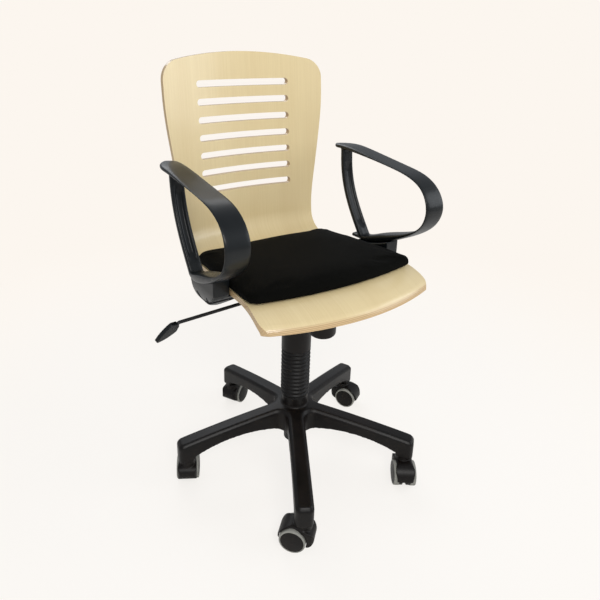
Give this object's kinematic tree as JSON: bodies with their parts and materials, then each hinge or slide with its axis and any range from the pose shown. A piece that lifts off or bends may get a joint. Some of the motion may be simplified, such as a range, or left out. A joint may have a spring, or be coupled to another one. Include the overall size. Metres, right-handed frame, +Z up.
{
  "type": "swivel chair",
  "caption": "Swivel task chair with a slotted plywood shell, black seat pad, loop armrests, gas lift and a star base on twin-wheel casters",
  "frame": {"origin": "on the floor under the middle of the column", "axes": "+Z up, the sitter looks along -Y, +X is on the sitter's left"},
  "size_m": [0.6564, 0.5993, 1.007],
  "materials": {
    "beech_ply": "satin lacquer",
    "black_fabric": "fine weave",
    "arm_plastic": "fine texture",
    "base_nylon": "satin",
    "sleeve_rubber": "matt",
    "tread_grey": "matt",
    "black_steel": "powder coat",
    "bright_steel": "ground",
    "bush_plastic": "moulded",
    "board": "raw"
  },
  "bodies": {
    "base": {"star_base": "base_nylon", "caster_stems": "bright_steel", "gas_outer_tube": "black_steel", "gas_guide_bush": "bush_plastic", "thrust_bearing": "bright_steel"},
    "gas_rod_set": {"gas_rod": "bright_steel", "rod_bumper": "sleeve_rubber", "rod_clip": "bright_steel", "column_bellows": "sleeve_rubber"},
    "lift": {"gas_cylinder": "bright_steel", "column_cuff": "base_nylon", "tilt_pan": "black_steel", "taper_socket": "black_steel", "tilt_pin": "bright_steel", "tension_spring": "black_steel"},
    "lever": {"lever_bar": "black_steel", "lever_handle": "arm_plastic"},
    "valve": {"valve_pin": "bright_steel"},
    "seat": {"seat_plate": "black_steel", "seat_plate_bolts": "black_steel", "tension_bolt": "bright_steel", "plywood_shell": "beech_ply", "pad_board": "board", "seat_pad": "black_fabric", "arm_loop_left": "arm_plastic", "arm_loop_right": "arm_plastic", "arm_bracket_left": "arm_plastic", "arm_bracket_right": "arm_plastic", "arm_bolts": "black_steel"},
    "knob": {"tension_knob": "base_nylon"},
    "caster_1": {"caster_1_fork": "base_nylon", "caster_1_axle": "bright_steel"},
    "caster_1_left_wheel_body": {"caster_1_left_wheel": "base_nylon", "caster_1_left_tread": "tread_grey"},
    "caster_1_right_wheel_body": {"caster_1_right_wheel": "base_nylon", "caster_1_right_tread": "tread_grey"},
    "caster_2": {"caster_2_fork": "base_nylon", "caster_2_axle": "bright_steel"},
    "caster_2_left_wheel_body": {"caster_2_left_wheel": "base_nylon", "caster_2_left_tread": "tread_grey"},
    "caster_2_right_wheel_body": {"caster_2_right_wheel": "base_nylon", "caster_2_right_tread": "tread_grey"},
    "caster_3": {"caster_3_fork": "base_nylon", "caster_3_axle": "bright_steel"},
    "caster_3_left_wheel_body": {"caster_3_left_wheel": "base_nylon", "caster_3_left_tread": "tread_grey"},
    "caster_3_right_wheel_body": {"caster_3_right_wheel": "base_nylon", "caster_3_right_tread": "tread_grey"},
    "caster_4": {"caster_4_fork": "base_nylon", "caster_4_axle": "bright_steel"},
    "caster_4_left_wheel_body": {"caster_4_left_wheel": "base_nylon", "caster_4_left_tread": "tread_grey"},
    "caster_4_right_wheel_body": {"caster_4_right_wheel": "base_nylon", "caster_4_right_tread": "tread_grey"},
    "caster_5": {"caster_5_fork": "base_nylon", "caster_5_axle": "bright_steel"},
    "caster_5_left_wheel_body": {"caster_5_left_wheel": "base_nylon", "caster_5_left_tread": "tread_grey"},
    "caster_5_right_wheel_body": {"caster_5_right_wheel": "base_nylon", "caster_5_right_tread": "tread_grey"}
  },
  "joints": [
    {"name": "seat_swivel", "type": "hinge", "parent": "base", "child": "gas_rod_set", "pos_m": [0, 0, 0.07], "axis": [0, 0, 1], "continuous": true},
    {"name": "gas_lift", "type": "slide", "parent": "gas_rod_set", "child": "lift", "axis": [0, 0, 1], "range_m": [-0.1, 0], "deforming": ["column_bellows"]},
    {"name": "height_lever", "type": "hinge", "parent": "lift", "child": "lever", "pos_m": [-0.046, 0, 0.484], "axis": [0, 1, 0], "range_deg": [0, 4.5], "stiffness_Nm_per_rad": 6, "springref_deg": -5.73},
    {"name": "valve_press", "type": "slide", "parent": "lift", "child": "valve", "axis": [0, 0, -1], "range_m": [0, 0.00362]},
    {"name": "seat_tilt", "type": "hinge", "parent": "lift", "child": "seat", "pos_m": [0, -0.03, 0.5], "axis": [-1, 0, 0], "range_deg": [0, 12], "stiffness_Nm_per_rad": 60, "springref_deg": -22.92, "deforming": ["tension_spring"]},
    {"name": "tension_turn", "type": "hinge", "parent": "seat", "child": "knob", "pos_m": [0, -0.1, 0.424], "axis": [0, 0, 1], "range_deg": [-720, 720]},
    {"name": "caster_1_swivel", "type": "hinge", "parent": "base", "child": "caster_1", "pos_m": [-0.13788, -0.2437, 0.062], "axis": [0, 0, 1], "continuous": true},
    {"name": "caster_1_left_roll", "type": "hinge", "parent": "caster_1", "child": "caster_1_left_wheel_body", "pos_m": [-0.15084, -0.2298, 0.029], "axis": [-0.7314, -0.682, 0], "continuous": true},
    {"name": "caster_1_right_roll", "type": "hinge", "parent": "caster_1", "child": "caster_1_right_wheel_body", "pos_m": [-0.15084, -0.2298, 0.029], "axis": [-0.7314, -0.682, 0], "continuous": true},
    {"name": "caster_2_swivel", "type": "hinge", "parent": "base", "child": "caster_2", "pos_m": [0.18916, -0.20644, 0.062], "axis": [0, 0, 1], "continuous": true},
    {"name": "caster_2_left_roll", "type": "hinge", "parent": "caster_2", "child": "caster_2_left_wheel_body", "pos_m": [0.17854, -0.22219, 0.029], "axis": [0.829, -0.5592, 0], "continuous": true},
    {"name": "caster_2_right_roll", "type": "hinge", "parent": "caster_2", "child": "caster_2_right_wheel_body", "pos_m": [0.17854, -0.22219, 0.029], "axis": [0.829, -0.5592, 0], "continuous": true},
    {"name": "caster_3_swivel", "type": "hinge", "parent": "base", "child": "caster_3", "pos_m": [0.25479, 0.11611, 0.062], "axis": [0, 0, 1], "continuous": true},
    {"name": "caster_3_left_roll", "type": "hinge", "parent": "caster_3", "child": "caster_3_left_wheel_body", "pos_m": [0.26429, 0.09966, 0.029], "axis": [0.866, 0.5, 0], "continuous": true},
    {"name": "caster_3_right_roll", "type": "hinge", "parent": "caster_3", "child": "caster_3_right_wheel_body", "pos_m": [0.26429, 0.09966, 0.029], "axis": [0.866, 0.5, 0], "continuous": true},
    {"name": "caster_4_swivel", "type": "hinge", "parent": "base", "child": "caster_4", "pos_m": [-0.0317, 0.2782, 0.062], "axis": [0, 0, 1], "continuous": true},
    {"name": "caster_4_left_roll", "type": "hinge", "parent": "caster_4", "child": "caster_4_left_wheel_body", "pos_m": [-0.01524, 0.2877, 0.029], "axis": [-0.5, 0.866, 0], "continuous": true},
    {"name": "caster_4_right_roll", "type": "hinge", "parent": "caster_4", "child": "caster_4_right_wheel_body", "pos_m": [-0.01524, 0.2877, 0.029], "axis": [-0.5, 0.866, 0], "continuous": true},
    {"name": "caster_5_swivel", "type": "hinge", "parent": "base", "child": "caster_5", "pos_m": [-0.27438, 0.05582, 0.062], "axis": [0, 0, 1], "continuous": true},
    {"name": "caster_5_left_roll", "type": "hinge", "parent": "caster_5", "child": "caster_5_left_wheel_body", "pos_m": [-0.26546, 0.0726, 0.029], "axis": [-0.8829, 0.4695, 0], "continuous": true},
    {"name": "caster_5_right_roll", "type": "hinge", "parent": "caster_5", "child": "caster_5_right_wheel_body", "pos_m": [-0.26546, 0.0726, 0.029], "axis": [-0.8829, 0.4695, 0], "continuous": true}
  ],
  "couplings": [
    {"joint": "valve_press", "follows": "height_lever", "m_per_rad": 0.046}
  ]
}
